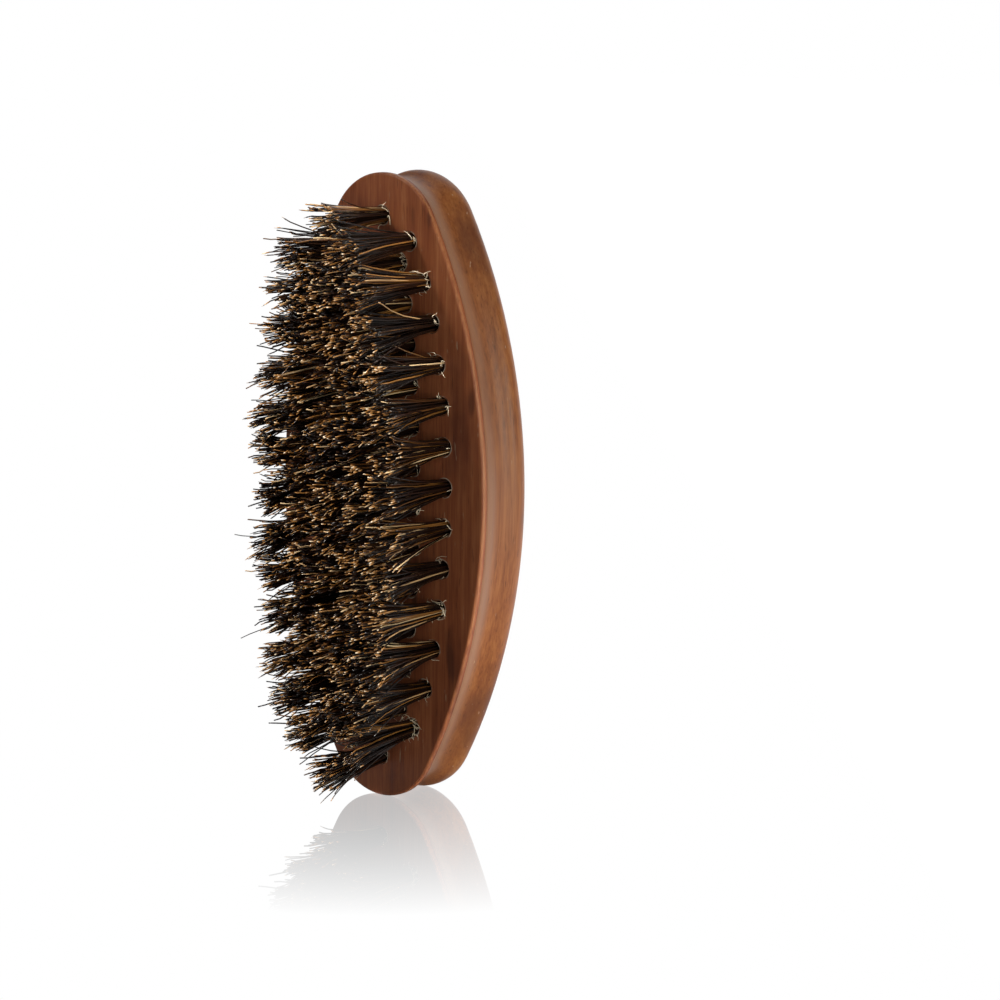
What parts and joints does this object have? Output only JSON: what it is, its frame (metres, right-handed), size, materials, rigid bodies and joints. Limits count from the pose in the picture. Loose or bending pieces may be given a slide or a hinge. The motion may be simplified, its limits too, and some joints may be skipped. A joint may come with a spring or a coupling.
{
  "type": "beard brush",
  "caption": "Oval palm brush for grooming a beard: a grooved wooden block with boar-bristle tufts wire-anchored in blind holes.",
  "frame": {"origin": "under the lower end, at the middle of the overall width and depth (bottom centre of the box)", "axes": "+Z along the brush's length, +X across it, -Y the way the bristles point, +Y out of the palm side"},
  "size_m": [0.05, 0.0344, 0.12],
  "materials": {
    "stained_wood": "satin varnish over red-brown stain, grain along the brush",
    "boar_bristle": "natural boar bristle, near black with amber and straw-coloured hairs",
    "anchor_wire": "bright flat wire"
  },
  "bodies": {
    "root": {"body_block": "stained_wood", "knot_anchors": "anchor_wire", "tuft_row_01": "boar_bristle", "tuft_row_02": "boar_bristle", "tuft_row_03": "boar_bristle", "tuft_row_04": "boar_bristle", "tuft_row_05": "boar_bristle", "tuft_row_06": "boar_bristle", "tuft_row_07": "boar_bristle", "tuft_row_08": "boar_bristle", "tuft_row_09": "boar_bristle", "tuft_row_10": "boar_bristle", "tuft_row_11": "boar_bristle", "tuft_row_12": "boar_bristle", "tuft_row_13": "boar_bristle", "tuft_row_14": "boar_bristle", "tuft_row_15": "boar_bristle", "tuft_row_16": "boar_bristle", "tuft_row_17": "boar_bristle", "tuft_row_18": "boar_bristle", "tuft_row_19": "boar_bristle", "tuft_row_20": "boar_bristle", "tuft_row_21": "boar_bristle", "tuft_row_22": "boar_bristle", "tuft_row_23": "boar_bristle", "tuft_row_24": "boar_bristle", "tuft_row_25": "boar_bristle", "tuft_row_26": "boar_bristle", "tuft_row_27": "boar_bristle"}
  },
  "joints": []
}
